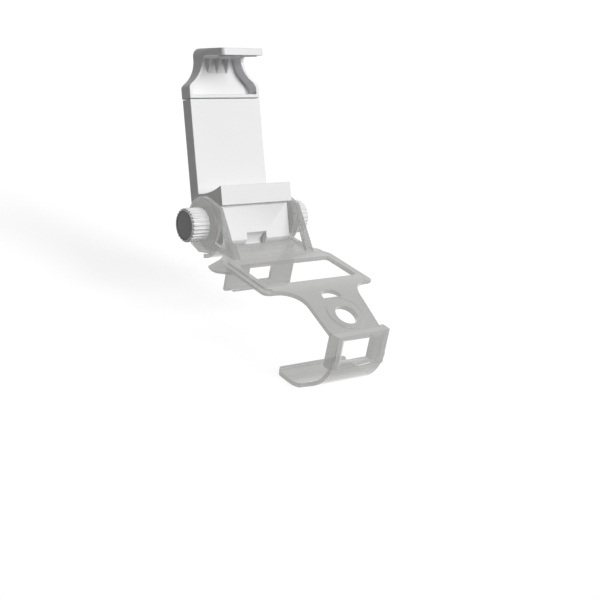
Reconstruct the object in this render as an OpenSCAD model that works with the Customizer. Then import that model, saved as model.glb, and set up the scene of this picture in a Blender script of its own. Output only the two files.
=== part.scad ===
// Phone clip with a clear base.
// A white spring clamp is pinned between the base's two ears.
// Millimetres. +Z is up from the seat, +Y points to the back.
// The origin is on the seat under the base, at the middle of its window.

/* [Window frame] */
// Width of the window in the base
window_w = 51; // [44:1:54]
// Depth of the window in the base
window_d = 21.8; // [16:0.5:24]
// Thickness of the outer flange that lies on the seat
flange_t = 1.4; // [1:0.1:2.4]
// Height of the raised rim above the flange
rim_rise = 0.8; // [0.4:0.1:1.6]
// Width of the raised rim beside the window
rim_side = 3; // [2:0.5:3.5]
// Width of the rim in front of the window
rim_front = 4.2; // [3:0.2:5]
// Width of the rim behind the window
rim_rear = 5.6; // [4:0.2:7]
// Width of the flange outside the rim
flange_w = 2.4; // [1.6:0.2:3.2]
// How far each rear wing reaches out past the flange
wing_reach = 5; // [2:0.5:8]
// Downward slope of the wings, in degrees
wing_slope = 20; // [8:1:26]

/* [Bridge and collar] */
// Width of the narrow bridge in front of the window
bridge_w = 29; // [26:0.5:32]
// Radius of the cut-away on each side of the bridge
side_cut_r = 11.5; // [9:0.5:13]
// Downward slope of the bridge, in degrees
bridge_slope = 22.5; // [16:0.5:26]
// Radius of the bend where the bridge turns down
bridge_bend_r = 40; // [30:1:50]
// Thickness of the clear plastic plates
plate_t = 2; // [1.6:0.1:2.6]
// Distance from the window's middle to the front of the collar
collar_y = 50.4; // [48:0.2:53]
// Depth of the collar, front to back
collar_d = 4.4; // [3.6:0.2:6]
// Width of the collar
collar_w = 30.4; // [27:0.2:34]
// Depth of the collar's top edge below the window plate
collar_drop = 6; // [5:0.2:7]
// Height of the collar
collar_h = 16; // [14:0.5:18]
// Width of the port window in the collar
port_w = 17; // [12:0.5:19]
// Height of the port window in the collar
port_h = 10.9; // [8:0.1:12]
// Distance from the collar's top down to its window
port_drop = 3.8; // [3:0.1:5]
// Flare of the port window towards the front
port_flare = 2; // [1:0.25:3]
// Distance from the collar's top down to where the front wall starts to curve
wall_drop = 10.7; // [9:0.1:12]
// Radius of the front wall's curve into the foot
wall_r = 20.2; // [18:0.2:21]
// Width of the front wall above the foot
wall_w = 28.8; // [26:0.2:30]
// Width of the foot
foot_w = 39.2; // [36:0.4:44]
// How far the foot runs back past the curve
foot_l = 10; // [4:1:16]
// Diameter of the round hole in the bridge
hole_d = 10.5; // [9:0.5:12]
// Distance from the window's middle to the round hole
hole_y = 36.6; // [35:0.2:38]
// Width of the raised pad round the hole
pad_w = 18; // [15:0.5:20]
// Height of the raised pad
pad_rise = 0.7; // [0.4:0.1:1.2]
// Radius of the half-round hole in the bridge
half_r = 5.1; // [4:0.1:5.6]
// Distance from the window's middle to the flat side of the half-round hole
half_y = 26; // [25:0.2:27]

/* [Rear hook] */
// Distance from the window's middle to the rear wall
hook_y = 26; // [24:0.5:28]
// Width of the rear wall
hook_w = 38; // [30:1:40]
// How far the rear wall reaches down
hook_h = 18; // [15:0.5:22]
// Reach of the hook at the rear wall's lower edge
hook_reach = 1.8; // [1:0.2:2.6]
// Width of the cut-out in the rear wall
charge_w = 13; // [10:0.5:16]
// Height of the cut-out in the rear wall
charge_h = 8; // [6:0.5:9]

/* [Hinge] */
// Distance from the window's middle to the hinge axis
hinge_y = 45.6; // [44:0.2:48]
// Height of the hinge axis above the seat
hinge_z = 8.1; // [7.4:0.1:9]
// How far the clamp leans back, in degrees
lean = 24; // [18:1:30]
// Thickness of each ear
ear_t = 2.4; // [2:0.1:3]
// Radius of the round end of each ear
ear_r = 12.6; // [12:0.1:13.4]
// Width of the raised ring on the ear's round end
ring_w = 1.4; // [1:0.1:2]
// Height of the raised ring
ring_rise = 0.6; // [0.3:0.1:0.9]
// Width of the flange along the ear's front edge
ear_flange_w = 4; // [3:0.2:5]
// Height of the ear's front flange above the window plate
ear_flange_h = 17.4; // [16:0.2:18]
// Thickness of each friction disc
disc_t = 1.4; // [1:0.1:2]
// Gap between each friction disc and the wide part of the clamp above it
disc_gap = 0.3; // [0.2:0.1:1]
// Diameter of the clamp screws
screw_d = 4; // [3:0.5:5]
// Running clearance round the screws
screw_gap = 0.08; // [0.05:0.01:0.1]
// Width across the flats of the nuts
nut_af = 7; // [6:0.5:8]
// Thickness of the nuts
nut_t = 3.2; // [2.4:0.2:3.6]
// Thickness of the washers
washer_t = 0.8; // [0.6:0.1:1.2]
// Diameter of the washers
washer_d = 9; // [8:0.5:10]

/* [Knobs] */
// Diameter of the knobs
knob_d = 15.8; // [14:0.2:18]
// Length of the knobs
knob_l = 9.5; // [8:0.1:11]
// Number of ribs round each knob
knob_ribs = 26; // [20:1:32]
// Height of the knob's ribs
rib_h = 0.55; // [0.3:0.05:0.8]
// Width of each rib
rib_w = 1.3; // [0.8:0.05:1.5]
// Diameter of the cap in the knob's end
cap_d = 13.2; // [10:0.2:13.4]
// Thickness of the cap
cap_t = 1; // [0.8:0.1:1.4]

/* [Clamp body] */
// Width of the clamp
clamp_w = 40; // [38:0.5:42]
// How far the hinge block stands in from each side of the clamp
block_inset = 0.8; // [0.4:0.1:1.4]
// Distance from the hinge axis to the clamp's face
face_y = 6.5; // [6:0.1:7]
// Distance from the hinge axis to the clamp's back, and the radius of the hinge block
back_y = 13.2; // [12.8:0.1:13.6]
// Height of the clamp's body above the hinge axis
body_h = 58.3; // [54:0.5:66]
// Thickness of the clamp's front wall
front_t = 1.7; // [1.4:0.1:2]
// Thickness of the clamp's side walls
side_t = 1.8; // [1.5:0.1:2.2]
// Thickness of the rear cover
cover_t = 1.6; // [1.4:0.1:2]
// Height of the phone seat above the hinge axis
seat_h = 13.9; // [13:0.1:15]
// Radius of the seat's hollow
seat_r = 41; // [36:1:60]
// Distance from the hinge axis to the lower jaw's front face
lip_y = 12.5; // [11:0.5:14]
// Height of the lower jaw's front face
lip_h = 9; // [7:0.5:10]
// Rise of the lower jaw's front edge above the seat
lip_rise = 2.7; // [2:0.1:3.4]
// Distance from the hinge axis to the front panel under the lower jaw
panel_y = 9.7; // [9:0.1:10.5]
// Width of the finger scoop
scoop_w = 11; // [8:0.5:14]
// Radius of the finger scoop
scoop_r = 6.5; // [5:0.5:8]
// Clearance between the hinge block and the trough in the base
block_gap = 0.8; // [0.5:0.1:1.2]

/* [Sliding jaw] */
// How far the jaw pulls out
travel = 25; // [10:1:30]
// Gap at the seam between the jaw and the clamp body
seam = 0.35; // [0.2:0.05:0.6]
// Height of the jaw's square shoulder
shoulder_h = 5.2; // [4:0.2:7]
// Width of the jaw's neck
neck_w = 23.8; // [20:0.2:26]
// Height above the seam where the sweep meets the neck
neck_rise = 19; // [17:0.5:20]
// Radius of the sweep from the shoulder to the neck
sweep_r = 14; // [12:0.5:16]
// Height of the jaw above the seam, at the back
jaw_h = 24.2; // [22:0.2:28]
// Distance from the hinge axis to the jaw's front edge
roof_y = 11; // [9:0.5:13]
// Thickness of the jaw's roof
roof_t = 3.4; // [2.8:0.1:4]
// Downward slope of the roof, in degrees
roof_slope = 7.6; // [4:0.2:10]
// Depth of the hollow in the jaw's face
dish_t = 5.2; // [4.4:0.1:5.4]
// Width of the rim beside the hollow
dish_rim = 1.7; // [1.2:0.1:2.4]
// Width of the hollow's sloping side
dish_slope = 0.8; // [0.4:0.1:1.2]
// Number of ribs under the roof
fins = 3; // [2:1:4]
// Spacing of the ribs
fin_pitch = 5.2; // [4:0.2:6]
// Length of the ribs under the roof
fin_l = 8.2; // [7:0.2:10]
// Depth of the ribs under the roof
fin_d = 4.2; // [3:0.1:5]
// Room on each side of the tongue, for its guides and the cover screws
tongue_inset = 6.5; // [6:0.25:8]
// Gap under the tongue when the jaw is closed
tongue_rest = 5.8; // [4:0.2:8]
// Clearance round the tongue
slide_gap = 0.25; // [0.15:0.05:0.4]

/* [Springs, pins and cover screws] */
// Outside diameter of the springs
spring_d = 2.8; // [2.2:0.1:2.9]
// Wire diameter of the springs
wire_d = 0.5; // [0.4:0.05:0.6]
// Number of turns in each spring
turns = 20; // [12:1:26]
// Distance from the tongue's edge to each spring
spring_inset = 5.5; // [4.5:0.25:7]
// Diameter of the spring pins
pin_d = 1.4; // [1:0.1:1.6]
// Height of the lower spring pin above the hinge axis
pin_low_h = 18.4; // [17:0.2:19]
// Distance from the seam down to the upper spring pin
pin_drop = 6; // [5:0.5:9]
// Diameter of the cover screws
cover_screw_d = 2; // [1.6:0.1:2.2]
// Diameter of the cover screws' heads
cover_head_d = 3; // [2.6:0.1:3.2]
// Distance from the cover's edge to its screws
cover_screw_inset = 2.2; // [2:0.1:2.4]
// Height of the lower cover screws above the hinge axis
screw_low_h = 20; // [18:0.5:24]
// Distance from the top of the clamp's body down to the upper cover screws
screw_drop = 6.3; // [5:0.1:12]
// Thickness of the rubber pads
rubber_t = 1; // [0.8:0.1:1.4]

/* [Hidden] */
$fn = 64;
// overlap of faces that would only touch
eps = 0.01;
sunk = 0.02;
// longer than any piece, for cutting shapes
far = 100;

rim_top = flange_t + rim_rise;
rim_half = window_w / 2 + rim_side;
frame_half = rim_half + flange_w;
front_y = -window_d / 2 - rim_front - flange_w;
rim_front_y = -window_d / 2 - rim_front;
rim_rear_y = window_d / 2 + rim_rear;
wing_y0 = window_d / 2 - 5;
wing_y1 = rim_rear_y + 4;

// The bridge's bend starts just inside the rim, level with its top.
bend_y = rim_front_y + 0.3;
bend_z = rim_top - sunk;
bend_end_y = bend_y - bridge_bend_r * sin(bridge_slope);
bend_end_z = bend_z - bridge_bend_r * (1 - cos(bridge_slope));
collar_back_y = -collar_y + collar_d;
collar_top = rim_top - collar_drop - 2;
collar_bottom = collar_top - collar_h;
port_z = collar_top - port_drop - port_h / 2;
wall_y = -collar_y + wall_r + sunk;
wall_z = collar_top - wall_drop;
foot_z = wall_z - wall_r;

// The trough runs from one angle to the other, down from level, in front of the hinge.
trough_r = back_y + block_gap;
trough_out = trough_r + plate_t;
trough_start = 27;
trough_end = 74;
deck_y = hinge_y - trough_r * cos(trough_start);

block_w = clamp_w - 2 * block_inset;
wide_h = seat_h + lip_rise - lip_h;
disc_r = wide_h - disc_gap;
ear_in = block_w / 2 + disc_t + 0.1;
ear_out = ear_in + ear_t;
ring_out = ear_out + ring_rise;
ear_foot = [rim_rear_y + 1.6, flange_t];
ear_top = [hinge_y - 10.3, rim_top + ear_flange_h];
ear_edge = (ear_top - ear_foot) / norm(ear_top - ear_foot);
// how far the clamp's front corners reach as it swings, with room to spare
swing_r = norm([lip_y, seat_h + lip_rise]) + 1.6;

knob_in = ear_out + washer_t + 0.15;
knob_out = knob_in + knob_l;
cap_sunk = 0.2;
head_t = 2.8;
head_x = knob_in + 2.6;
nut_x = block_w / 2 - 3 - nut_t;
screw_tip = nut_x - 1.2;
screw_bore = screw_d / 2 + screw_gap;

cavity_y0 = face_y + front_t;
cavity_y1 = back_y - cover_t;
cavity_mid = (cavity_y0 + cavity_y1) / 2;
cavity_half = clamp_w / 2 - side_t;
tongue_y0 = cavity_y0 + slide_gap;
tongue_y1 = cavity_y1 - slide_gap;
seam_h = body_h + seam;
slot_w = spring_d + 0.8;
cavity_floor = pin_low_h - 2.6;
tongue_w = clamp_w - 2 * tongue_inset;
spring_x = tongue_w / 2 - spring_inset;
pin_high_h = seam_h - pin_drop;
pin_half = spring_x + slot_w / 2 + 2.2;
tongue_end = cavity_floor + tongue_rest;
tongue_l = seam_h - tongue_end;
cover_half = clamp_w / 2 - side_t;
cover_screw_x = cover_half - cover_screw_inset;
screw_high_h = body_h - screw_drop;
// the cover's tail curls under the hinge block, down to this angle
tail_half = nut_x - 0.2;
tail_end = -30;
cover_gap = 0.1;
hollow_front = 4.5;
hollow_low = 9;
hollow_high = 8;
screw_post_r = cover_screw_d / 2 + 1.1;

// The seat's hollow is an arc about a point this far behind the hinge axis.
seat_y = 3;
seat_pad_end = clamp_w / 2 - 2.5;
seat_pad_front = 17.6;
seat_pad_back = 2.6;

jaw_top = seam_h + jaw_h;
neck_h = seam_h + neck_rise;
shoulder_top = seam_h + shoulder_h;
jaw_corner_r = 4;
roof_corner_r = 3;
sweep_steps = 12;
sweep_bottom = neck_h - sqrt(sweep_r ^ 2 - (sweep_r - (clamp_w - neck_w) / 2 + 1.6) ^ 2);
dish_front = 2;
dish_floor = face_y + dish_t - 0.2;
fin_t = 1;

// The upper pad is let into the underside of the roof.
pad_y0 = -roof_y + 1.4;
pad_y1 = -2.4;
pad_half = neck_w / 2 - 3.4;
pad_z = jaw_top - (back_y + 1 - pad_y0) * tan(roof_slope) - roof_t;
pad_sunk = 0.5;

coil_r = (spring_d - wire_d) / 2;
hook_r = pin_d / 2 + 0.1 + wire_d / 2;
coil_low = pin_low_h + hook_r + 1.2;
coil_high = pin_high_h - hook_r - 1.2;
coil_segments = 9;
wire_sides = 6;

// Helpers

// A profile drawn in Y and Z, made a solid that spans x0 to x1.
module across(x0, x1) {
    translate([x0, 0, 0])
        rotate([90, 0, 90])
            linear_extrude(x1 - x0)
                children();
}

// A disc or tube along X, from x0 to x1, on the axis through y and z.
module rod(x0, x1, r, y = 0, z = 0) {
    translate([x0, y, z])
        rotate([0, 90, 0])
            cylinder(r = r, h = x1 - x0);
}

// Both sides of the middle plane.
module both_sides() {
    children();
    mirror([1, 0, 0]) children();
}

// Left is -X, right is +X.
module on_side(side) {
    if (side == "left") mirror([1, 0, 0]) children();
    else children();
}

// The clamp's own frame: X along the hinge, Z up the leaning body, Y to its back.
module leaning() {
    translate([0, hinge_y, hinge_z])
        rotate([-lean, 0, 0])
            children();
}

// A plan outline with round corners, from four sides.
module rounded_plan(x0, x1, y0, y1, r) {
    square_x = x1 - x0 - 2 * r;
    square_y = y1 - y0 - 2 * r;
    translate([x0 + r, y0])
        square([square_x, y1 - y0]);
    translate([x0, y0 + r])
        square([x1 - x0, square_y]);
    for (x = [x0 + r, x1 - r], y = [y0 + r, y1 - r])
        translate([x, y])
            circle(r);
}

// Part of a ring in the plane, from angle a0 to a1, under 180 degrees.
module ring_part(r_in, r_out, a0, a1) {
    reach = 2 * r_out / cos((a1 - a0) / 2);
    mid = (a0 + a1) / 2;
    intersection() {
        difference() {
            circle(r_out, $fn = 120);
            circle(r_in, $fn = 120);
        }
        polygon([
            [0, 0],
            reach * [cos(a0), sin(a0)],
            reach * [cos(mid), sin(mid)],
            reach * [cos(a1), sin(a1)]
        ]);
    }
}

// Base

// The flange, its web to the ears' feet and the raised rim.
module frame_plate() {
    wing_x = frame_half - 2.4;
    linear_extrude(flange_t) {
        rounded_plan(-frame_half, frame_half, front_y, rim_rear_y + 1, 3);
        translate([-ear_out + 0.3, rim_rear_y - 2])
            square([2 * ear_out - 0.6, deck_y - rim_rear_y + 1.7]);
        both_sides()
            polygon([
                [ear_in, rim_rear_y - 1],
                [wing_x, rim_rear_y - 1],
                [wing_x, wing_y1 + 0.5],
                [ear_out, wing_y1 + 5],
                [ear_in, wing_y1 + 5]
            ]);
    }
    translate([0, 0, flange_t / 2])
        linear_extrude(rim_top - flange_t / 2)
            rounded_plan(-rim_half, rim_half, rim_front_y, rim_rear_y, 2);
}

// A wing bends down beside the frame.
module wing() {
    wing_x = frame_half - 3;
    translate([wing_x, 0, flange_t - sunk])
        rotate([0, wing_slope, 0])
            translate([-wing_x, 0, -flange_t])
                linear_extrude(flange_t)
                    polygon([
                        [wing_x, wing_y0],
                        [frame_half + 0.2, wing_y0 + 2],
                        [frame_half + wing_reach - 0.6, wing_y1 - 6],
                        [frame_half + wing_reach, wing_y1 - 3],
                        [frame_half + wing_reach - 0.4, wing_y1],
                        [wing_x, wing_y1 + 0.6]
                    ]);
}

// Plan of the bridge, from the frame to the collar.
module bridge_plan() {
    cut_x = bridge_w / 2 + side_cut_r + 0.5;
    cut_y = front_y - side_cut_r;
    difference() {
        translate([-cut_x, -collar_y])
            square([2 * cut_x, collar_y + rim_front_y + 1]);
        both_sides() {
            translate([cut_x, cut_y])
                circle(side_cut_r, $fn = 96);
            polygon([
                [cut_x + 1, cut_y],
                [cut_x - side_cut_r, cut_y],
                [wall_w / 2 - 0.6, collar_back_y],
                [wall_w / 2 - 0.6, -collar_y - 1],
                [cut_x + 1, -collar_y - 1]
            ]);
        }
    }
}

// Side profile of the bridge: level, then bent, then straight to the collar.
module bridge_profile() {
    straight = (bend_end_y - collar_back_y) / cos(bridge_slope);
    translate([bend_y - eps, bend_z - plate_t])
        square([3, plate_t]);
    translate([bend_y, bend_z - bridge_bend_r])
        ring_part(bridge_bend_r - plate_t, bridge_bend_r, 90, 90 + bridge_slope);
    translate([bend_end_y, bend_end_z])
        rotate(bridge_slope)
            translate([-straight - 1, -plate_t])
                square([straight + 1 + eps, plate_t]);
}

// Places its children on the bridge's sloping top, square to it.
module on_bridge(y) {
    translate([0, y, bend_end_z + (y - bend_end_y) * tan(bridge_slope)])
        rotate([bridge_slope, 0, 0])
            children();
}

module bridge() {
    intersection() {
        across(-frame_half, frame_half) bridge_profile();
        translate([0, 0, -far / 2]) linear_extrude(far) bridge_plan();
    }
    // a raised pad round the hole
    on_bridge(1 - hole_y)
        translate([0, 0, -plate_t / 2])
            cylinder(d = pad_w, h = plate_t / 2 + pad_rise);
}

module bridge_hole() {
    on_bridge(-hole_y)
        translate([0, 0, -6])
            cylinder(d = hole_d, h = 12);
}

// A half-round hole, flat towards the front.
module half_round_hole() {
    translate([0, -half_y, -6])
        linear_extrude(16)
            intersection() {
                circle(half_r);
                translate([-half_r, 0]) square([2 * half_r, half_r]);
            }
}

// The collar is a deep frame round the port window.
module collar() {
    back = collar_back_y + 1.2;
    difference() {
        across(-collar_w / 2, collar_w / 2)
            translate([-collar_y, collar_bottom])
                square([back + collar_y, collar_h]);
        // the front corners are eased
        both_sides()
            translate([collar_w / 2, -collar_y, collar_bottom - 1])
                rotate([0, 0, 45])
                    translate([-0.8, -0.8, 0])
                        cube([1.6, 1.6, collar_h + 2]);
    }
}

// The window flares out to the sides and the top, and a little at the bottom.
module port_window() {
    depth = 2.4;
    side = port_flare * 1.6;
    below = port_flare * 0.35;
    translate([-port_w / 2, -collar_y - 1, port_z - port_h / 2])
        cube([port_w, collar_d + 6, port_h]);
    hull() {
        translate([-port_w / 2 + sunk, -collar_y + depth, port_z - port_h / 2 + sunk])
            cube([port_w - 2 * sunk, eps, port_h - 2 * sunk]);
        translate([-port_w / 2 - side, -collar_y - eps, port_z - port_h / 2 - below])
            cube([port_w + 2 * side, eps, port_h + below + port_flare]);
    }
}

// Plan of the wall and foot: narrow above, wide below.
module wall_plan() {
    fillet = (foot_w - wall_w) / 2;
    fillet_y = wall_y - wall_r * cos(49);
    end_y = wall_y + foot_l;
    difference() {
        rounded_plan(-foot_w / 2, foot_w / 2, -collar_y - 6, end_y, 4);
        both_sides() {
            translate([foot_w / 2, fillet_y])
                circle(fillet);
            translate([wall_w / 2, -collar_y - 7])
                square([fillet + 1, fillet_y + collar_y + 7]);
        }
    }
}

// The front wall runs down from the collar and curves into the foot.
module wall_and_foot() {
    intersection() {
        across(-foot_w / 2, foot_w / 2) {
            translate([wall_y, wall_z])
                ring_part(wall_r - plate_t, wall_r, 180, 270);
            translate([wall_y - eps, foot_z])
                square([foot_l, plate_t]);
            translate([wall_y + foot_l - 1.2, foot_z + plate_t])
                circle(1.2);
        }
        translate([0, 0, foot_z - 5]) linear_extrude(far) wall_plan();
    }
}

// The deck behind the frame ends in a trough that clears the hinge block.
module trough_profile() {
    translate([hinge_y, hinge_z])
        ring_part(trough_r, trough_out, 180 + trough_start, 180 + trough_end);
    translate([deck_y - 3, 0.2])
        square([3.3, flange_t - 0.4]);
}

// The rear wall drops behind the deck and hooks forward at its lower edge.
module rear_hook() {
    difference() {
        across(-hook_w / 2, hook_w / 2) {
            translate([hook_y, -hook_h])
                square([plate_t, hook_h + flange_t / 2]);
            translate([hook_y - hook_reach, -hook_h])
                polygon([[0, 0], [hook_reach + plate_t, 0], [hook_reach + plate_t, 2.4],
                    [hook_reach, 2.4], [0, 1.2]]);
            translate([hook_y + plate_t, 0])
                polygon([[-eps, flange_t / 2], [-eps, -2.5], [2.5, flange_t / 2]]);
        }
        translate([-charge_w / 2, hook_y - 5, -hook_h + 3.6])
            cube([charge_w, 10, charge_h]);
        both_sides()
            translate([hook_w / 2, hook_y - 5, -hook_h])
                rotate([0, 45, 0])
                    cube([5, 10, 5], center = true);
    }
}

// Outline of an ear in Y and Z, with the end of the trough.
module ear_outline() {
    trough_profile();
    translate([hinge_y, hinge_z])
        circle(ear_r, $fn = 96);
    polygon([
        ear_foot - 1.2 * ear_edge,
        ear_top,
        [hinge_y, hinge_z + ear_r - 0.1],
        [hinge_y, hinge_z],
        [hinge_y + 8.8, hinge_z - 8],
        [hinge_y + 7, hinge_z - ear_r - 0.5],
        [hinge_y, hinge_z - ear_r - 1.6],
        [hinge_y - trough_out * cos(50) + 1, hinge_z - trough_out * sin(50) + 1],
        [deck_y + 0.2, 0.3]
    ]);
}

// The three-cornered opening between the ear's round end and its front flange.
module ear_window() {
    difference() {
        polygon([
            [ear_foot[0] + 6.4, flange_t + 1.2],
            [hinge_y - 12.2, flange_t + 12.2],
            [hinge_y - 8, flange_t + 4],
            [hinge_y - 10.5, flange_t + 1.2]
        ]);
        translate([hinge_y, hinge_z])
            circle(ear_r - 1.4, $fn = 96);
    }
}

module ear() {
    difference() {
        union() {
            across(ear_in, ear_out)
                difference() {
                    ear_outline();
                    ear_window();
                }
            across(ear_out - 0.5, ring_out)
                translate([hinge_y, hinge_z])
                    difference() {
                        circle(ear_r - 0.1, $fn = 96);
                        circle(ear_r - ring_w, $fn = 96);
                    }
            ear_flange();
        }
        rod(ear_in - 1, ring_out + 1, screw_bore, hinge_y, hinge_z);
    }
}

// A strip along the ear's front edge, cut back where the clamp swings past.
module ear_flange() {
    inward = [ear_edge[1], -ear_edge[0]];
    proud = -0.15 * inward;
    foot = ear_foot - 0.8 * ear_edge;
    difference() {
        across(ear_out - ear_flange_w, ear_out - 0.3)
            polygon([
                foot + proud,
                ear_top + proud - 0.2 * ear_edge,
                ear_top + 1.8 * inward - 0.2 * ear_edge,
                foot + 1.8 * inward
            ]);
        rod(ear_in - 3, ear_in + 1, swing_r, hinge_y, hinge_z);
    }
}

module base_shell() {
    color([0.62, 0.64, 0.66, 0.55])
        difference() {
            union() {
                frame_plate();
                both_sides() wing();
                bridge();
                collar();
                wall_and_foot();
                across(-ear_in - 0.5, ear_in + 0.5) trough_profile();
                rear_hook();
                both_sides() ear();
            }
            translate([0, 0, -4])
                linear_extrude(12)
                    rounded_plan(-window_w / 2, window_w / 2, -window_d / 2, window_d / 2, 1.6);
            bridge_hole();
            half_round_hole();
            port_window();
        }
}

// Hinge hardware, drawn on the right and mirrored to the left

module knob_part() {
    difference() {
        union() {
            rod(knob_in, knob_out, knob_d / 2 - rib_h, hinge_y, hinge_z);
            for (i = [0 : knob_ribs - 1])
                translate([knob_in + 0.5, hinge_y, hinge_z])
                    rotate([i * 360 / knob_ribs, 0, 0])
                        translate([0, -rib_w / 2, knob_d / 2 - rib_h - 0.5])
                            cube([knob_l - 1, rib_w, rib_h + 0.5]);
        }
        // bore for the screw's shank, hexagon for its head, recess for the cap
        rod(knob_in - 1, knob_out + 1, screw_d / 2, hinge_y, hinge_z);
        translate([head_x, hinge_y, hinge_z])
            rotate([0, 90, 0])
                cylinder(d = nut_af / cos(30), h = knob_l, $fn = 6);
        rod(knob_out - cap_t - cap_sunk, knob_out + 1, cap_d / 2 + 0.05, hinge_y, hinge_z);
    }
}

module knob(side) {
    color("whitesmoke") on_side(side) knob_part();
}

module knob_cap(side) {
    color("gainsboro")
        on_side(side)
            rod(knob_out - cap_t - cap_sunk, knob_out - cap_sunk, cap_d / 2, hinge_y, hinge_z);
}

module clamp_screw(side) {
    color("silver")
        on_side(side) {
            rod(screw_tip, head_x + eps, screw_d / 2, hinge_y, hinge_z);
            translate([head_x, hinge_y, hinge_z])
                rotate([0, 90, 0])
                    cylinder(d = nut_af / cos(30), h = head_t, $fn = 6);
        }
}

module washer(side) {
    color("silver")
        on_side(side)
            difference() {
                rod(ear_out, ear_out + washer_t, washer_d / 2, hinge_y, hinge_z);
                rod(ear_out - 1, ear_out + washer_t + 1, screw_bore, hinge_y, hinge_z);
            }
}

module friction_disc(side) {
    color("dimgray")
        on_side(side)
            difference() {
                rod(block_w / 2, block_w / 2 + disc_t, disc_r, hinge_y, hinge_z);
                rod(block_w / 2 - 1, ear_in + 1, screw_bore, hinge_y, hinge_z);
            }
}

module nut(side) {
    color("darkgoldenrod")
        on_side(side)
            difference() {
                translate([nut_x, hinge_y, hinge_z])
                    rotate([-lean, 0, 0])
                        rotate([0, 90, 0])
                            cylinder(d = nut_af / cos(30), h = nut_t, $fn = 6);
                rod(nut_x - 1, nut_x + nut_t + 1, screw_bore, hinge_y, hinge_z);
            }
}

// Clamp body: the front shell, its lower jaw and the hinge block, in one moulding

// Side profile of the hinge block and lower jaw, in the clamp's own Y and Z.
module jaw_profile() {
    difference() {
        union() {
            intersection() {
                circle(back_y, $fn = 120);
                translate([-panel_y, -back_y - 1])
                    square([panel_y + back_y + 1, 2 * back_y + 2]);
            }
            translate([-panel_y, 0])
                square([panel_y + back_y, seat_h + 3]);
            translate([-lip_y, wide_h])
                square([lip_y, lip_h]);
        }
        translate([seat_y, seat_h + seat_r])
            circle(seat_r, $fn = 180);
    }
}

// Hollow behind the hinge block, closed by the rear cover, for fitting the nuts.
module block_hollow() {
    across(-tail_half, tail_half) {
        intersection() {
            circle(back_y - cover_t, $fn = 120);
            translate([-hollow_front, -hollow_low]) square([far, hollow_low + hollow_high]);
        }
        translate([0, -3]) square([back_y + 2, hollow_high + 3]);
    }
}

module body_shell() {
    // lower jaw and block, slightly narrower where it runs between the ears
    intersection() {
        across(-clamp_w / 2, clamp_w / 2) jaw_profile();
        union() {
            translate([-clamp_w / 2, -far / 2, wide_h])
                cube([clamp_w, far, far]);
            translate([-block_w / 2, -far / 2, -far / 2])
                cube([block_w, far, far]);
        }
    }
    // front wall and side walls of the housing
    translate([-clamp_w / 2, face_y, seat_h - 1])
        cube([clamp_w, back_y - face_y, body_h - seat_h + 1]);
}

// Room inside the housing for the tongue and its springs.
module housing_cavity() {
    translate([-cavity_half, cavity_y0, cavity_floor])
        cube([2 * cavity_half, back_y, body_h - cavity_floor - 2]);
    translate([-tongue_w / 2 - slide_gap, cavity_y0, body_h - 4])
        cube([tongue_w + 2 * slide_gap, cavity_y1 - cavity_y0, 6]);
}

// Ribs that guide the tongue's edges, screw posts and pin bosses.
module housing_inside() {
    guide_x = tongue_w / 2 + slide_gap;
    both_sides() {
        translate([guide_x, cavity_y0 - eps, tongue_end + 4])
            cube([1, cavity_y1 - cavity_y0, body_h - tongue_end - 5]);
        for (h = [screw_low_h, screw_high_h])
            translate([cover_screw_x, cavity_y0 - eps, h])
                rotate([-90, 0, 0])
                    cylinder(r = screw_post_r, h = cavity_y1 - cavity_y0);
        translate([spring_x + slot_w / 2 + 0.6, cavity_y0 - eps, cavity_floor - eps])
            cube([2.4, cavity_y1 - cavity_y0, pin_low_h - cavity_floor + 1.6]);
    }
}

module cover_screw_holes() {
    both_sides()
        for (h = [screw_low_h, screw_high_h])
            translate([cover_screw_x, cavity_y0 + 0.4, h])
                rotate([-90, 0, 0])
                    cylinder(d = cover_screw_d, h = back_y);
}

// Room for the rear cover: flat behind the housing, round under the block.
module cover_profile() {
    translate([cavity_y1, 0])
        square([cover_t, body_h - 2]);
    ring_part(back_y - cover_t, back_y, tail_end, 0.5);
}

module cover_shape(gap = 0) {
    intersection() {
        across(-cover_half + gap, cover_half - gap) cover_profile();
        union() {
            translate([-cover_half + gap, 0, seat_h - 1 + gap])
                cube([2 * cover_half - 2 * gap, far, body_h]);
            translate([-tail_half + gap, 0, -far / 2])
                cube([2 * tail_half - 2 * gap, far, seat_h + 1 + far / 2]);
        }
    }
}

// A finger scoop in the middle of the front panel's lower edge.
module finger_scoop() {
    translate([-scoop_w / 2, -panel_y - 2.4, -back_y + 1.4])
        rotate([0, 90, 0])
            cylinder(r = scoop_r, h = scoop_w, $fn = 96);
}

module clamp_body() {
    color("whitesmoke")
        leaning()
            difference() {
                union() {
                    difference() {
                        body_shell();
                        housing_cavity();
                        block_hollow();
                    }
                    housing_inside();
                }
                cover_shape();
                cover_screw_holes();
                finger_scoop();
                // pocket for the seat's rubber pad
                across(-seat_pad_end, seat_pad_end)
                    seat_pad_profile(seat_r + rubber_t - 0.2);
                rod(-block_w / 2 - 1, block_w / 2 + 1, screw_bore);
                both_sides()
                    translate([nut_x - eps, 0, 0])
                        rotate([0, 90, 0])
                            cylinder(d = nut_af / cos(30), h = nut_t + eps, $fn = 6);
                rod(-pin_half, pin_half, pin_d / 2, cavity_mid, pin_low_h);
            }
}

module rear_cover() {
    color("whitesmoke")
        leaning()
            difference() {
                cover_shape(cover_gap);
                both_sides()
                    for (h = [screw_low_h, screw_high_h])
                        translate([cover_screw_x, 0, h])
                            rotate([-90, 0, 0]) {
                                cylinder(r = cover_screw_d / 2 + 0.1, h = far);
                                translate([0, 0, back_y - 0.9])
                                    cylinder(r = cover_head_d / 2 + 0.1, h = 5);
                            }
            }
}

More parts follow.
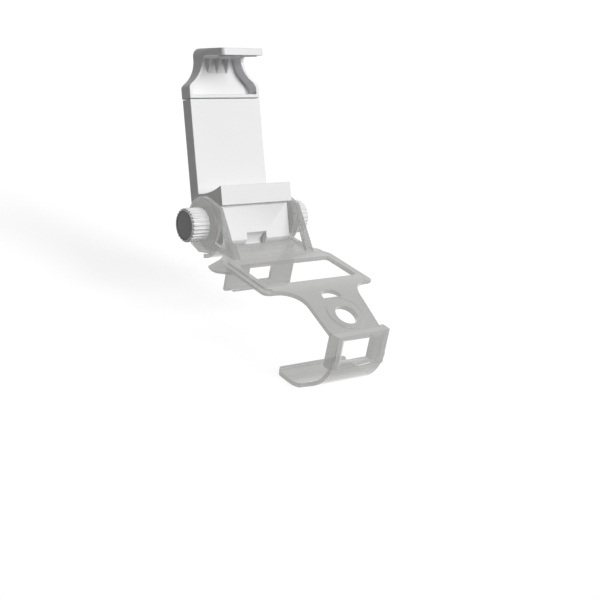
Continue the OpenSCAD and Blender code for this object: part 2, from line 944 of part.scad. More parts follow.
module cover_screws() {
    color("silver")
        leaning()
            both_sides()
                for (h = [screw_low_h, screw_high_h])
                    translate([cover_screw_x, 0, h])
                        rotate([-90, 0, 0])
                            difference() {
                                union() {
                                    translate([0, 0, cavity_y0 + 0.8])
                                        cylinder(d = cover_screw_d, h = back_y - cavity_y0 - 1.2);
                                    translate([0, 0, back_y - 0.9])
                                        cylinder(d = cover_head_d, h = 0.8);
                                }
                                for (turn = [0, 90])
                                    rotate(turn)
                                        translate([-1.1, -0.2, back_y - 0.5])
                                            cube([2.2, 0.4, 2]);
                            }
}

module lower_spring_pin() {
    color("silver")
        leaning()
            rod(-pin_half + 0.1, pin_half - 0.1, pin_d / 2, cavity_mid, pin_low_h);
}

// Rubber pads

module seat_pad_profile(outer_r) {
    translate([seat_y, seat_h + seat_r])
        ring_part(seat_r - 0.2, outer_r, 270 - seat_pad_front, 270 + seat_pad_back);
}

module lower_jaw_pad() {
    color("lightgray")
        leaning()
            across(-seat_pad_end + 0.1, seat_pad_end - 0.1)
                seat_pad_profile(seat_r + rubber_t - 0.25);
}

// Sliding jaw

// Half the jaw's width where it sweeps in to the neck.
function sweep_half(h) = neck_w / 2 + sweep_r - sqrt(max(0, sweep_r ^ 2 - (neck_h - h) ^ 2));

// Right edge of the jaw's face, from the bottom up, inset by a width.
function jaw_edge(inset, low, high) = [
    [clamp_w / 2 - inset, low],
    [clamp_w / 2 - inset, shoulder_top - inset * 0.4],
    [clamp_w / 2 - 0.5 - inset, shoulder_top + 1 - inset * 0.4],
    for (i = [0 : sweep_steps])
        let (h = sweep_bottom + (min(neck_h, high) - sweep_bottom) * i / sweep_steps)
            [sweep_half(h) - inset, h],
    if (high > neck_h) [neck_w / 2 - inset, high]
];

function mirrored(points) = [for (i = [len(points) - 1 : -1 : 0]) [-points[i][0], points[i][1]]];

module jaw_outline(inset, low, high) {
    edge = jaw_edge(inset, low, high);
    polygon(concat(edge, mirrored(edge)));
}

// Jaw outline with the round upper corners, standing up in X and Z.
module jaw_blank(y0, y1) {
    translate([0, y1, 0])
        rotate([90, 0, 0])
            linear_extrude(y1 - y0) {
                jaw_outline(0, seam_h, jaw_top - jaw_corner_r);
                translate([-neck_w / 2 + jaw_corner_r, neck_h])
                    square([neck_w - 2 * jaw_corner_r, jaw_top - neck_h]);
                for (x = [-1, 1])
                    translate([x * (neck_w / 2 - jaw_corner_r), jaw_top - jaw_corner_r])
                        circle(jaw_corner_r);
            }
}

// Side profile of the wall and roof, with the hollow curve under the roof.
module roof_profile() {
    difference() {
        union() {
            translate([face_y - 0.2, seam_h - 1])
                square([back_y + 0.4 - face_y + 0.2, jaw_h + 1]);
            translate([-roof_y, neck_h - 12])
                square([roof_y + back_y, jaw_h]);
        }
        // sloping top
        translate([back_y + 1, jaw_top])
            rotate(roof_slope)
                translate([-far, 0])
                    square([far, far]);
        // space under the roof, with a round inner corner
        under_roof();
    }
}

module under_roof() {
    corner_y = face_y - 0.2 - roof_corner_r;
    under_h = jaw_top - (back_y + 1 - corner_y) * tan(roof_slope) - roof_t;
    corner_h = under_h - roof_corner_r;
    translate([-far, seam_h - far])
        square([far + face_y - 0.2, corner_h - seam_h + far]);
    translate([corner_y, corner_h])
        circle(roof_corner_r, $fn = 96);
    translate([corner_y, under_h])
        rotate(roof_slope)
            translate([-far, -far / 4])
                square([far, far / 4]);
}

// Plan of the roof: round front corners.
module roof_plan() {
    translate([0, 0, seam_h - 1])
        linear_extrude(jaw_h + 4) {
            rounded_plan(-neck_w / 2, neck_w / 2, -roof_y, back_y - 2, 2);
            translate([-clamp_w / 2, face_y - 0.2])
                square([clamp_w, back_y + 2 - face_y]);
        }
}

// A hollow with sloping sides in the jaw's face, open to the front under the roof.
module dish() {
    low = seam_h + dish_rim;
    high = jaw_top - roof_t - 2;
    rim = jaw_edge(dish_rim, low, high);
    floor = jaw_edge(dish_rim + dish_slope, low, high);
    outer = concat(rim, mirrored(rim));
    inner = concat(floor, mirrored(floor));
    count = len(outer);
    points = concat(
        [for (p = outer) [p[0], dish_front, p[1]]],
        [for (p = outer) [p[0], face_y - 0.25, p[1]]],
        [for (p = inner) [p[0], dish_floor, p[1]]]
    );
    sides = [for (ring = [0, count], i = [0 : count - 1])
        let (j = (i + 1) % count)
            [ring + i, ring + j, ring + j + count, ring + i + count]];
    polyhedron(points, concat(
        sides,
        [[for (i = [count - 1 : -1 : 0]) i]],
        [[for (i = [0 : count - 1]) i + 2 * count]]
    ), convexity = 4);
}

// Thin tapered ribs that stiffen the corner under the roof.
module roof_fins() {
    first = -(fins - 1) / 2 * fin_pitch;
    top = jaw_top - roof_t - 0.4;
    for (i = [0 : fins - 1])
        across(first + i * fin_pitch - fin_t / 2, first + i * fin_pitch + fin_t / 2)
            polygon([
                [dish_floor + 0.8, top - fin_l],
                [dish_floor - 0.2, top - fin_l],
                [dish_floor - fin_d, top - 1.4],
                [dish_floor - fin_d, top],
                [dish_floor + 0.8, top]
            ]);
}

module tongue() {
    difference() {
        translate([-tongue_w / 2, tongue_y0, tongue_end])
            cube([tongue_w, tongue_y1 - tongue_y0, tongue_l + dish_rim / 2]);
        for (x = [-spring_x, spring_x])
            translate([x - slot_w / 2, tongue_y0 - 1, tongue_end - 1])
                cube([slot_w, 10, pin_high_h + 2 - tongue_end + 1]);
    }
}

module sliding_jaw() {
    color("whitesmoke")
        leaning()
            difference() {
                union() {
                    difference() {
                        intersection() {
                            across(-clamp_w / 2, clamp_w / 2) roof_profile();
                            jaw_blank(-roof_y - 1, back_y + 0.4);
                            roof_plan();
                        }
                        dish();
                    }
                    roof_fins();
                    tongue();
                }
                rod(-pin_half, pin_half, pin_d / 2, cavity_mid, pin_high_h);
                translate([0, 0, pad_z])
                    upper_pad_shape(0.1);
            }
}

// A pad let into the underside of the roof.
module upper_pad_shape(gap = 0) {
    translate([0, pad_y0, 0])
        rotate([roof_slope, 0, 0])
            translate([-pad_half - gap, -gap, -pad_sunk])
                cube([2 * pad_half + 2 * gap, pad_y1 - pad_y0 + 2 * gap, rubber_t + gap / 2]);
}

module upper_jaw_pad() {
    color("lightgray")
        leaning()
            translate([0, 0, pad_z])
                upper_pad_shape();
}

module upper_spring_pin() {
    color("silver")
        leaning()
            rod(-pin_half + 0.6, pin_half - 0.6, pin_d / 2, cavity_mid, pin_high_h);
}

// Springs: a hook round each pin and an open coil between them

// Points along the wire, in the clamp's own frame, about x = 0.
function coil_points() = [
    for (i = [0 : turns * coil_segments])
        let (a = 360 * i / coil_segments, s = i / (turns * coil_segments))
            [coil_r * cos(a), cavity_mid + coil_r * sin(a), coil_low + (coil_high - coil_low) * s]
];
lower_hook = [
    for (a = [-60 : 30 : 240])
        [0, cavity_mid + hook_r * cos(a), pin_low_h - hook_r * sin(a)]
];
upper_hook = [
    for (a = [240 : -30 : -60])
        [0, cavity_mid + hook_r * cos(a), pin_high_h + hook_r * sin(a)]
];
wire_path = concat(lower_hook, coil_points(), upper_hook);

// Sweep a round wire along a list of points, without twisting it.
function unit(v) = v / norm(v);
function heading(path, i) = unit(path[min(i + 1, len(path) - 1)] - path[max(i - 1, 0)]);
function square_to(v, t) = unit(v - (v * t) * t);
function sideways(path) = [
    for (
        i = 0, s = square_to([1, 0, 0], heading(path, 0));
        i < len(path);
        i = i + 1, s = square_to(s, heading(path, min(i, len(path) - 1)))
    ) s
];
function wire_ring(p, t, side) = [
    for (k = [0 : wire_sides - 1])
        let (a = 360 * k / wire_sides)
            p + wire_d / 2 * (side * cos(a) + cross(side, t) * sin(a))
];

module wire(path) {
    n = len(path);
    side = sideways(path);
    points = [for (i = [0 : n - 1]) each wire_ring(path[i], heading(path, i), side[i])];
    sides = [for (i = [0 : n - 2], k = [0 : wire_sides - 1])
        let (
            a = i * wire_sides + k,
            b = i * wire_sides + (k + 1) % wire_sides
        )
            each [[a, b, b + wire_sides], [a, b + wire_sides, a + wire_sides]]];
    ends = [
        [for (k = [wire_sides - 1 : -1 : 0]) k],
        [for (k = [0 : wire_sides - 1]) (n - 1) * wire_sides + k]
    ];
    polyhedron(points, concat(sides, ends), convexity = 10);
}

module spring(side) {
    color("silver")
        leaning()
            translate([side == "left" ? -spring_x : spring_x, 0, 0])
                wire(wire_path);
}

base_shell();
knob("left");  // left_knob
knob("right");  // right_knob
knob_cap("left");  // left_knob_cap
knob_cap("right");  // right_knob_cap
clamp_screw("left");  // left_clamp_screw
clamp_screw("right");  // right_clamp_screw
washer("left");  // left_washer
washer("right");  // right_washer
friction_disc("left");  // left_friction_disc
friction_disc("right");  // right_friction_disc
nut("left");  // left_nut
nut("right");  // right_nut
clamp_body();
rear_cover();
cover_screws();
lower_spring_pin();
upper_spring_pin();
spring("left");  // left_spring
spring("right");  // right_spring
sliding_jaw();
lower_jaw_pad();
upper_jaw_pad();
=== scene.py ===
import math

import bmesh
import bpy
from mathutils import Matrix, Vector
from mathutils.geometry import intersect_point_line


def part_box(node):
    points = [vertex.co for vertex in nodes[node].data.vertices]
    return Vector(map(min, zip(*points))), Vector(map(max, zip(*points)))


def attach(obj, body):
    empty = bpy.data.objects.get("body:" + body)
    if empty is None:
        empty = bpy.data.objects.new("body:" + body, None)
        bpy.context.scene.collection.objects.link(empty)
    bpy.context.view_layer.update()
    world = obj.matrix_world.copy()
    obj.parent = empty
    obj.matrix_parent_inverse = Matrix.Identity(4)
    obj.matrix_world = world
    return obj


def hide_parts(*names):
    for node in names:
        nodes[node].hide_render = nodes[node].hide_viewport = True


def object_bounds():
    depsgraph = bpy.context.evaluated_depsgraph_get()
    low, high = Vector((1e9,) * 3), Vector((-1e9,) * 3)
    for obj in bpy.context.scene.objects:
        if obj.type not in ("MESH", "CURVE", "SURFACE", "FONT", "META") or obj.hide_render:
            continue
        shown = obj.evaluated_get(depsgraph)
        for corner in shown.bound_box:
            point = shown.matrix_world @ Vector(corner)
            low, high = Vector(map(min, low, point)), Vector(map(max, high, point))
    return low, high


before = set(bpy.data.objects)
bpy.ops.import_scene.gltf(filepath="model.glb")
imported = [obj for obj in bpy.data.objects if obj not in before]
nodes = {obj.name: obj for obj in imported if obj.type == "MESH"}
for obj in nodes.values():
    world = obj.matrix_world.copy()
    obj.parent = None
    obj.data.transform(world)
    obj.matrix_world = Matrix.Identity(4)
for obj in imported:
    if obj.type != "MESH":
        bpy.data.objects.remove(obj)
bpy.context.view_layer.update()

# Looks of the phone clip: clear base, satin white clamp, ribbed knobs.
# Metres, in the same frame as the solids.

MM = 0.001

# Camera, solved from the photograph's frame
CAMERA_PLACE = (-0.337095, -0.389350, 0.203001)
CAMERA_RIGHT = (0.78646, -0.59191, 0.17641)
CAMERA_DOWN = (-0.10582, -0.41053, -0.90569)
CAMERA_FORWARD = (0.60851, 0.69362, -0.38550)
CAMERA_LENS = 73.60
CAMERA_SENSOR = 36.0

# Hinge axis and knobs
HINGE_Y = 45.6 * MM
HINGE_Z = 8.1 * MM
KNOB_RIBS = 26
KNOB_RADIUS = 7.9 * MM
KNOB_RIB_HEIGHT = 0.55 * MM
# the dark cap fills nearly the whole knob end, so its grey paints the end face's shade
CAP_RADIUS = 6.6 * MM

# Edges of the mouldings
EDGE_ANGLE = math.radians(32)
CLAMP_EDGE = 0.25 * MM
JAW_EDGE = 0.25 * MM
BASE_EDGE = 0.28 * MM
COVER_EDGE = 0.2 * MM

# Even light from all round, on a scale where 1 is white
WORLD_LIGHT = 0.1


# Node groups

def add(tree, kind, **settings):
    """A shader node with its settings and socket values."""
    node = tree.nodes.new(kind)
    for key, value in settings.items():
        if hasattr(node, key):
            setattr(node, key, value)
        else:
            node.inputs[key.replace("_", " ")].default_value = value
    return node


def moulded_surface_group():
    """Fine mould texture, slow cloudiness and faint rub marks of a moulded plastic."""
    tree = bpy.data.node_groups.new("moulded_surface", "ShaderNodeTree")
    face = tree.interface
    face.new_socket("Vector", in_out="INPUT", socket_type="NodeSocketVector")
    for name, value in (
        ("Grain Scale", 2600.0),
        ("Cloud Scale", 45.0),
        ("Rough Low", 0.3),
        ("Rough High", 0.42),
        ("Rub", 0.15),
    ):
        face.new_socket(name, in_out="INPUT", socket_type="NodeSocketFloat").default_value = value
    for name in ("Cloud", "Roughness", "Height"):
        face.new_socket(name, in_out="OUTPUT", socket_type="NodeSocketFloat")
    start = tree.nodes.new("NodeGroupInput")
    end = tree.nodes.new("NodeGroupOutput")
    link = tree.links.new

    grain = add(tree, "ShaderNodeTexNoise", Detail=3.0, Roughness=0.6)
    link(start.outputs["Vector"], grain.inputs["Vector"])
    link(start.outputs["Grain Scale"], grain.inputs["Scale"])

    cloud = add(tree, "ShaderNodeTexNoise", Detail=2.0, Roughness=0.45)
    link(start.outputs["Vector"], cloud.inputs["Vector"])
    link(start.outputs["Cloud Scale"], cloud.inputs["Scale"])
    link(cloud.outputs["Fac"], end.inputs["Cloud"])

    # faint rub marks run along the piece
    stretch = tree.nodes.new("ShaderNodeMapping")
    stretch.inputs["Scale"].default_value = (900.0, 900.0, 60.0)
    stretch.inputs["Rotation"].default_value = (0.0, math.radians(24), 0.4)
    marks = add(tree, "ShaderNodeTexNoise", Scale=1.0, Detail=4.0, Roughness=0.7)
    link(start.outputs["Vector"], stretch.inputs["Vector"])
    link(stretch.outputs["Vector"], marks.inputs["Vector"])
    strength = add(tree, "ShaderNodeMath", operation="MULTIPLY")
    link(marks.outputs["Fac"], strength.inputs[0])
    link(start.outputs["Rub"], strength.inputs[1])
    mixed = add(tree, "ShaderNodeMath", operation="ADD")
    link(cloud.outputs["Fac"], mixed.inputs[0])
    link(strength.outputs[0], mixed.inputs[1])
    rough = tree.nodes.new("ShaderNodeMapRange")
    link(mixed.outputs[0], rough.inputs["Value"])
    link(start.outputs["Rough Low"], rough.inputs["To Min"])
    link(start.outputs["Rough High"], rough.inputs["To Max"])
    rough.inputs["From Min"].default_value = 0.25
    rough.inputs["From Max"].default_value = 0.85
    link(rough.outputs["Result"], end.inputs["Roughness"])

    link(grain.outputs["Fac"], end.inputs["Height"])
    return tree


moulded_surface = moulded_surface_group()


def plastic(name, tone_a, tone_b, rough, grain=2600.0, cloud=45.0, bump=0.06, rub=0.15, shader=None):
    """A moulded plastic: two close tones, mould texture and its own roughness range."""
    material = bpy.data.materials.new(name)
    material.use_nodes = True
    tree = material.node_tree
    principled = tree.nodes["Principled BSDF"]
    place = tree.nodes.new("ShaderNodeTexCoord")
    surface = tree.nodes.new("ShaderNodeGroup")
    surface.node_tree = moulded_surface
    surface.inputs["Grain Scale"].default_value = grain
    surface.inputs["Cloud Scale"].default_value = cloud
    surface.inputs["Rough Low"].default_value = rough[0]
    surface.inputs["Rough High"].default_value = rough[1]
    surface.inputs["Rub"].default_value = rub
    tones = tree.nodes.new("ShaderNodeMix")
    tones.data_type = "RGBA"
    tones.inputs["A"].default_value = (*tone_a, 1.0)
    tones.inputs["B"].default_value = (*tone_b, 1.0)
    relief = tree.nodes.new("ShaderNodeBump")
    relief.inputs["Strength"].default_value = bump
    relief.inputs["Distance"].default_value = 0.05 * MM
    link = tree.links.new
    link(place.outputs["Object"], surface.inputs["Vector"])
    link(surface.outputs["Cloud"], tones.inputs["Factor"])
    link(tones.outputs["Result"], principled.inputs["Base Color"])
    link(surface.outputs["Roughness"], principled.inputs["Roughness"])
    link(surface.outputs["Height"], relief.inputs["Height"])
    link(relief.outputs["Normal"], principled.inputs["Normal"])
    for socket, value in (shader or {}).items():
        principled.inputs[socket].default_value = value
    return material


def turned_metal(name, tone_a, tone_b, rough):
    """Bright metal with fine lathe rings round the X axis."""
    material = bpy.data.materials.new(name)
    material.use_nodes = True
    tree = material.node_tree
    principled = tree.nodes["Principled BSDF"]
    principled.inputs["Metallic"].default_value = 1.0
    place = tree.nodes.new("ShaderNodeTexCoord")
    stretch = tree.nodes.new("ShaderNodeMapping")
    stretch.inputs["Scale"].default_value = (9000.0, 300.0, 300.0)
    rings = add(tree, "ShaderNodeTexNoise", Scale=1.0, Detail=2.0)
    tones = tree.nodes.new("ShaderNodeMix")
    tones.data_type = "RGBA"
    tones.inputs["A"].default_value = (*tone_a, 1.0)
    tones.inputs["B"].default_value = (*tone_b, 1.0)
    spread = tree.nodes.new("ShaderNodeMapRange")
    spread.inputs["To Min"].default_value = rough[0]
    spread.inputs["To Max"].default_value = rough[1]
    relief = tree.nodes.new("ShaderNodeBump")
    relief.inputs["Strength"].default_value = 0.1
    relief.inputs["Distance"].default_value = 0.02 * MM
    link = tree.links.new
    link(place.outputs["Object"], stretch.inputs["Vector"])
    link(stretch.outputs["Vector"], rings.inputs["Vector"])
    link(rings.outputs["Fac"], tones.inputs["Factor"])
    link(rings.outputs["Fac"], spread.inputs["Value"])
    link(rings.outputs["Fac"], relief.inputs["Height"])
    link(tones.outputs["Result"], principled.inputs["Base Color"])
    link(spread.outputs["Result"], principled.inputs["Roughness"])
    link(relief.outputs["Normal"], principled.inputs["Normal"])
    return material


# Materials

def smoky_plastic(name):
    """Clear plastic with a grey haze: seen through face on, milky and glossy at a slant, with a painted
    glow for light passing into it and painted brighter edges.
    """
    material = plastic(
        name, (0.17, 0.17, 0.17), (0.22, 0.22, 0.22), rough=(0.1, 0.2), grain=700.0, cloud=60.0,
        bump=0.04, shader={"IOR": 1.46},
    )
    tree = material.node_tree
    link = tree.links.new
    principled = tree.nodes["Principled BSDF"]
    # painted light: a pale emission stands in for light that passes into the plastic, and grows at a
    # slant into painted edge highlights
    principled.inputs["Emission Color"].default_value = (0.95, 0.94, 0.92, 1.0)
    slant = add(tree, "ShaderNodeLayerWeight", Blend=0.35)
    haze = tree.nodes.new("ShaderNodeMapRange")
    haze.inputs["To Min"].default_value = 0.56
    haze.inputs["To Max"].default_value = 0.92
    link(slant.outputs["Facing"], haze.inputs["Value"])
    glow = tree.nodes.new("ShaderNodeMapRange")
    glow.inputs["To Min"].default_value = 0.14
    glow.inputs["To Max"].default_value = 0.42
    link(slant.outputs["Facing"], glow.inputs["Value"])
    link(glow.outputs["Result"], principled.inputs["Emission Strength"])
    # its shadow is lighter than its look, because the plastic passes light on
    path = tree.nodes.new("ShaderNodeLightPath")
    thinner = tree.nodes.new("ShaderNodeMapRange")
    thinner.inputs["To Min"].default_value = 1.0
    thinner.inputs["To Max"].default_value = 0.35
    link(path.outputs["Is Shadow Ray"], thinner.inputs["Value"])
    cover = add(tree, "ShaderNodeMath", operation="MULTIPLY")
    link(haze.outputs["Result"], cover.inputs[0])
    link(thinner.outputs["Result"], cover.inputs[1])
    link(cover.outputs["Value"], principled.inputs["Alpha"])
    return material


clear_base = smoky_plastic("clear_base")
satin_white = plastic("satin_white", (0.80, 0.80, 0.81), (0.83, 0.83, 0.835), rough=(0.34, 0.46))
knob_white = plastic("knob_white", (0.81, 0.81, 0.82), (0.85, 0.85, 0.855), rough=(0.3, 0.44), bump=0.08)
# dark grey painted shade for the knob ends: the end faces are the knob's white plastic in shade
knob_end_painted_shade = plastic("knob_end_painted_shade", (0.27, 0.27, 0.275), (0.32, 0.32, 0.325), rough=(0.34, 0.5), bump=0.08)
pad_rubber = plastic(
    "pad_rubber", (0.60, 0.60, 0.61), (0.66, 0.66, 0.67), rough=(0.7, 0.9), grain=1800.0, bump=0.25
)
disc_nylon = plastic("disc_nylon", (0.52, 0.52, 0.52), (0.58, 0.58, 0.58), rough=(0.5, 0.65), bump=0.1)
zinc_steel = turned_metal("zinc_steel", (0.55, 0.55, 0.57), (0.66, 0.66, 0.67), rough=(0.22, 0.4))
spring_steel = turned_metal("spring_steel", (0.42, 0.42, 0.44), (0.55, 0.55, 0.57), rough=(0.2, 0.35))
nut_brass = turned_metal("nut_brass", (0.62, 0.45, 0.18), (0.75, 0.57, 0.26), rough=(0.25, 0.42))

FINISHES = {
    "base_shell": clear_base,
    "left_knob": knob_white, "right_knob": knob_white,
    "left_knob_cap": knob_end_painted_shade, "right_knob_cap": knob_end_painted_shade,
    "left_clamp_screw": zinc_steel, "right_clamp_screw": zinc_steel,
    "left_washer": zinc_steel, "right_washer": zinc_steel,
    "left_friction_disc": disc_nylon, "right_friction_disc": disc_nylon,
    "left_nut": nut_brass, "right_nut": nut_brass,
    "clamp_body": satin_white, "rear_cover": satin_white, "sliding_jaw": satin_white,
    "cover_screws": zinc_steel,
    "lower_spring_pin": zinc_steel, "upper_spring_pin": zinc_steel,
    "left_spring": spring_steel, "right_spring": spring_steel,
    "lower_jaw_pad": pad_rubber, "upper_jaw_pad": pad_rubber,
}


def finish_node(name):
    """Gives a CAD node its detailed material."""
    slots = nodes[name].material_slots
    for one in slots:
        one.material = FINISHES[name]


for node_name in FINISHES:
    finish_node(node_name)


# Meshes

def finished_piece(name, bm, material, body, stands_for=None, sharp=True):
    """Makes a mesh object from a bmesh, smooth where its faces turn gently."""
    mesh = bpy.data.meshes.new(name)
    for face in bm.faces:
        face.smooth = True
    bm.to_mesh(mesh)
    bm.free()
    mesh.materials.append(material)
    if sharp:
        mesh.set_sharp_from_angle(angle=EDGE_ANGLE)
    piece = bpy.data.objects.new(name, mesh)
    bpy.context.scene.collection.objects.link(piece)
    if stands_for:
        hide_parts(stands_for)
    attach(piece, body)
    return piece


def is_sharp(edge):
    """Whether two faces meet at more than the edge angle."""
    return len(edge.link_faces) == 2 and edge.calc_face_angle(0.0) > EDGE_ANGLE


def has_room(loop, reach):
    """Whether no other sharp edge of the face lies closer than a reach in front of this one."""
    edge = loop.edge
    start, end = edge.verts[0].co, edge.verts[1].co
    inward = loop.face.normal.cross(loop.link_loop_next.vert.co - loop.vert.co).normalized()
    for spot in (start.lerp(end, 0.1), start.lerp(end, 0.5), start.lerp(end, 0.9)):
        for other in loop.face.edges:
            if other is edge or not is_sharp(other) or set(other.verts) & set(edge.verts):
                continue
            _, along = intersect_point_line(spot, other.verts[0].co, other.verts[1].co)
            nearest = other.verts[0].co.lerp(other.verts[1].co, min(1.0, max(0.0, along)))
            gap = nearest - spot
            if gap.length < reach and gap.dot(inward) > 0.35 * gap.length:
                return False
    return True


def mark_edges_to_round(bm, width):
    """Gives a bevel weight to each outer sharp edge with room for its rounding on both faces.

    The others are marked sharp.
    """
    weight = bm.edges.layers.float.new("bevel_weight_edge")
    for edge in [edge for edge in bm.edges if is_sharp(edge)]:
        if edge.is_convex and all(has_room(loop, 2.3 * width) for loop in edge.link_loops):
            edge[weight] = 1.0
        else:
            edge.smooth = False


def softened_moulding(node, body, width, material, segments=2):
    """A copy of a CAD node with its edges rounded, as a moulding has them."""
    bm = bmesh.new()
    bm.from_mesh(nodes[node].data)
    bmesh.ops.remove_doubles(bm, verts=bm.verts, dist=0.002 * MM)
    bmesh.ops.dissolve_degenerate(bm, edges=bm.edges, dist=0.002 * MM)
    bmesh.ops.dissolve_limit(
        bm, angle_limit=math.radians(0.6), verts=bm.verts, edges=bm.edges, use_dissolve_boundaries=False
    )
    mark_edges_to_round(bm, width)
    many_sided = [face for face in bm.faces if len(face.verts) > 4]
    bmesh.ops.triangulate(bm, faces=many_sided, quad_method="BEAUTY", ngon_method="BEAUTY")
    piece = finished_piece(f"{node}_moulding", bm, material, body, node, sharp=False)
    rounding = piece.modifiers.new("rounded_edges", "BEVEL")
    rounding.width = width
    rounding.segments = segments
    rounding.profile = 0.5
    rounding.limit_method = "WEIGHT"
    rounding.use_clamp_overlap = False
    rounding.loop_slide = False
    rounding.miter_outer = "MITER_ARC"
    flattening = piece.modifiers.new("flat_faces", "WEIGHTED_NORMAL")
    flattening.mode = "FACE_AREA"
    flattening.weight = 100
    flattening.keep_sharp = True
    return piece


base_moulding = softened_moulding("base_shell", "base", BASE_EDGE, clear_base)
clamp_moulding = softened_moulding("clamp_body", "clamp", CLAMP_EDGE, satin_white, 3)
jaw_moulding = softened_moulding("sliding_jaw", "jaw", JAW_EDGE, satin_white, 3)
cover_moulding = softened_moulding("rear_cover", "clamp", COVER_EDGE, satin_white)


# Knobs

def spun_profile(bm, points, steps=96):
    """Spins a profile of (x, radius) points round the hinge axis."""
    verts = [bm.verts.new((x, 0.0, r)) for x, r in points]
    edges = [bm.edges.new(pair) for pair in zip(verts, verts[1:])]
    bmesh.ops.spin(
        bm, geom=verts + edges, cent=(0, 0, 0), axis=(1, 0, 0), dvec=(0, 0, 0), angle=math.tau,
        steps=steps, use_merge=True, use_duplicate=False,
    )
    bmesh.ops.remove_doubles(bm, verts=bm.verts, dist=0.002 * MM)


def knob_rib(bm, x0, x1):
    """One rib of the knob, rounded along its crest and at both ends."""
    made = bmesh.ops.create_cone(
        bm, cap_ends=True, cap_tris=False, segments=12,
        radius1=0.62 * MM, radius2=0.62 * MM, depth=x1 - x0,
    )
    verts = made["verts"]
    bmesh.ops.rotate(bm, verts=verts, cent=(0, 0, 0), matrix=Matrix.Rotation(math.radians(90), 3, "Y"))
    crest = KNOB_RADIUS - 0.62 * MM
    bmesh.ops.translate(bm, verts=verts, vec=((x0 + x1) / 2, 0, crest))
    ends = [
        edge for edge in {e for v in verts for e in v.link_edges}
        if abs(edge.verts[0].co.x - edge.verts[1].co.x) < 1e-6
    ]
    bmesh.ops.bevel(
        bm, geom=ends, offset=0.25 * MM, offset_type="OFFSET", segments=2, profile=0.5,
        affect="EDGES", material=-1,
    )


def knob_body(side):
    """A ribbed knob with rounded shoulders and a recess for its cap."""
    low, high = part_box(f"{side}_knob")
    inner, outer = (-high.x, -low.x) if side == "left" else (low.x, high.x)
    body_r = KNOB_RADIUS - KNOB_RIB_HEIGHT
    bm = bmesh.new()
    spun_profile(bm, [
        (inner, 2.1 * MM),
        (inner, body_r - 0.5 * MM),
        (inner + 0.15 * MM, body_r - 0.15 * MM),
        (inner + 0.5 * MM, body_r),
        (outer - 0.9 * MM, body_r),
        (outer - 0.5 * MM, body_r - 0.08 * MM),
        (outer - 0.2 * MM, body_r - 0.3 * MM),
        (outer, body_r - 0.7 * MM),
        (outer, CAP_RADIUS + 0.25 * MM),
        (outer - 0.1 * MM, CAP_RADIUS + 0.08 * MM),
        (outer - 1.2 * MM, CAP_RADIUS + 0.05 * MM),
        (outer - 1.2 * MM, 2.1 * MM),
        (inner, 2.1 * MM),
    ])
    knob_ribs(bm, inner + 0.35 * MM, outer - 0.45 * MM)
    bmesh.ops.translate(bm, verts=bm.verts, vec=(0, HINGE_Y, HINGE_Z))
    if side == "left":
        bmesh.ops.scale(bm, verts=bm.verts, vec=(-1, 1, 1))
    bmesh.ops.recalc_face_normals(bm, faces=bm.faces)
    return finished_piece(
        f"{side}_ribbed_knob", bm, knob_white, f"{side}_knob_body", f"{side}_knob"
    )


def knob_ribs(bm, x0, x1):
    """Ribs all round the knob."""
    rib = bmesh.new()
    knob_rib(rib, x0, x1)
    mesh = bpy.data.meshes.new("rib")
    rib.to_mesh(mesh)
    rib.free()
    for k in range(KNOB_RIBS):
        turned = mesh.copy()
        turned.transform(Matrix.Rotation(math.tau * k / KNOB_RIBS, 4, "X"))
        bm.from_mesh(turned)
        bpy.data.meshes.remove(turned)
    bpy.data.meshes.remove(mesh)


def knob_end_cap(side):
    """The cap in the knob's end, slightly domed with an eased rim. Its dark grey paints the shade that
    falls on the knob's end face.
    """
    low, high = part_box(f"{side}_knob_cap")
    inner, outer = (-high.x, -low.x) if side == "left" else (low.x, high.x)
    bm = bmesh.new()
    spun_profile(bm, [
        (inner, 0.0),
        (inner, CAP_RADIUS),
        (outer - 0.35 * MM, CAP_RADIUS),
        (outer - 0.22 * MM, CAP_RADIUS - 0.08 * MM),
        (outer - 0.12 * MM, CAP_RADIUS - 0.3 * MM),
        (outer - 0.05 * MM, CAP_RADIUS - 1.5 * MM),
        (outer, CAP_RADIUS * 0.4),
        (outer, 0.0),
    ])
    bmesh.ops.translate(bm, verts=bm.verts, vec=(0, HINGE_Y, HINGE_Z))
    if side == "left":
        bmesh.ops.scale(bm, verts=bm.verts, vec=(-1, 1, 1))
    bmesh.ops.recalc_face_normals(bm, faces=bm.faces)
    return finished_piece(
        f"{side}_end_cap", bm, knob_end_painted_shade, f"{side}_knob_body", f"{side}_knob_cap"
    )


for side in ("left", "right"):
    knob_body(side)
    knob_end_cap(side)


# Floor, lights and camera

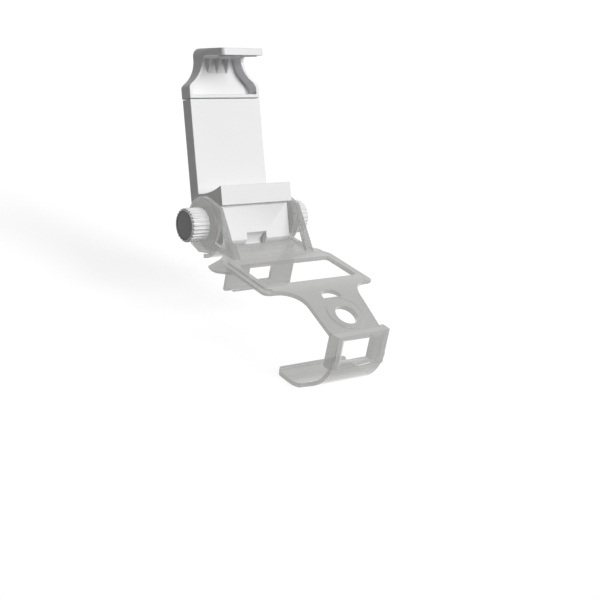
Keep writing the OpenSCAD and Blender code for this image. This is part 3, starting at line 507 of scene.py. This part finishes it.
def pale_floor():
    """A plain white floor that keeps the clip's soft shadow."""
    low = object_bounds()[0].z - 0.0002
    bm = bmesh.new()
    bmesh.ops.create_grid(bm, x_segments=1, y_segments=1, size=6.0)
    bmesh.ops.translate(bm, verts=bm.verts, vec=(0, 0, low))
    mesh = bpy.data.meshes.new("floor")
    bm.to_mesh(mesh)
    bm.free()
    material = bpy.data.materials.new("floor_white")
    material.use_nodes = True
    tree = material.node_tree
    principled = tree.nodes["Principled BSDF"]
    principled.inputs["Base Color"].default_value = (0.3, 0.3, 0.3, 1)
    principled.inputs["Roughness"].default_value = 0.9
    principled.inputs["Specular IOR Level"].default_value = 0.1
    glow = tree.nodes.new("ShaderNodeEmission")
    both = tree.nodes.new("ShaderNodeAddShader")
    path = tree.nodes.new("ShaderNodeLightPath")
    seen = add(tree, "ShaderNodeMath", operation="MAXIMUM")
    seen_too = add(tree, "ShaderNodeMath", operation="MAXIMUM")
    level = add(tree, "ShaderNodeMath", operation="MULTIPLY")
    level.inputs[1].default_value = 0.83
    link = tree.links.new
    link(path.outputs["Is Camera Ray"], seen.inputs[0])
    link(path.outputs["Is Glossy Ray"], seen.inputs[1])
    link(seen.outputs[0], seen_too.inputs[0])
    link(path.outputs["Is Transmission Ray"], seen_too.inputs[1])
    link(seen_too.outputs[0], level.inputs[0])
    link(level.outputs[0], glow.inputs["Strength"])
    link(principled.outputs["BSDF"], both.inputs[0])
    link(glow.outputs["Emission"], both.inputs[1])
    link(both.outputs["Shader"], tree.nodes["Material Output"].inputs["Surface"])
    mesh.materials.append(material)
    floor = bpy.data.objects.new("floor", mesh)
    bpy.context.scene.collection.objects.link(floor)


def studio_world():
    """Dim, even light from all round, and white where the camera sees it."""
    world = bpy.data.worlds.new("studio")
    bpy.context.scene.world = world
    world.use_nodes = True
    tree = world.node_tree
    background = tree.nodes["Background"]
    background.inputs["Color"].default_value = (1, 1, 1, 1)
    path = tree.nodes.new("ShaderNodeLightPath")
    seen = add(tree, "ShaderNodeMath", operation="MAXIMUM")
    glass = add(tree, "ShaderNodeMath", operation="MAXIMUM")
    strength = tree.nodes.new("ShaderNodeMapRange")
    strength.inputs["To Min"].default_value = WORLD_LIGHT
    strength.inputs["To Max"].default_value = 1.0
    link = tree.links.new
    link(path.outputs["Is Camera Ray"], seen.inputs[0])
    link(path.outputs["Is Glossy Ray"], seen.inputs[1])
    link(seen.outputs[0], glass.inputs[0])
    link(path.outputs["Is Transmission Ray"], glass.inputs[1])
    link(glass.outputs[0], strength.inputs["Value"])
    link(strength.outputs["Result"], background.inputs["Strength"])


def lamp(name, toward, strength, spread):
    """A soft sun that shines along a direction."""
    data = bpy.data.lights.new(name, "SUN")
    data.energy = strength
    data.angle = math.radians(spread)
    light = bpy.data.objects.new(name, data)
    light.rotation_euler = Vector(toward).to_track_quat("-Z", "Y").to_euler()
    bpy.context.scene.collection.objects.link(light)


def photograph_camera():
    """The camera at the photograph's place, turned as it was."""
    data = bpy.data.cameras.new("camera")
    data.lens = CAMERA_LENS
    data.sensor_width = CAMERA_SENSOR
    data.sensor_fit = "HORIZONTAL"
    data.clip_start = 0.01
    camera = bpy.data.objects.new("camera", data)
    right, down, forward = (Vector(v) for v in (CAMERA_RIGHT, CAMERA_DOWN, CAMERA_FORWARD))
    turn = Matrix((right, -down, -forward)).transposed().to_4x4()
    camera.matrix_world = Matrix.Translation(CAMERA_PLACE) @ turn
    bpy.context.scene.collection.objects.link(camera)
    bpy.context.scene.camera = camera


pale_floor()
studio_world()
lamp("key_from_right", (-0.42, 0.80, -0.62), 2.3, 28)
lamp("fill_from_above", (0.05, 0.25, -1.0), 0.35, 60)
photograph_camera()
bpy.context.scene.view_settings.view_transform = "Standard"
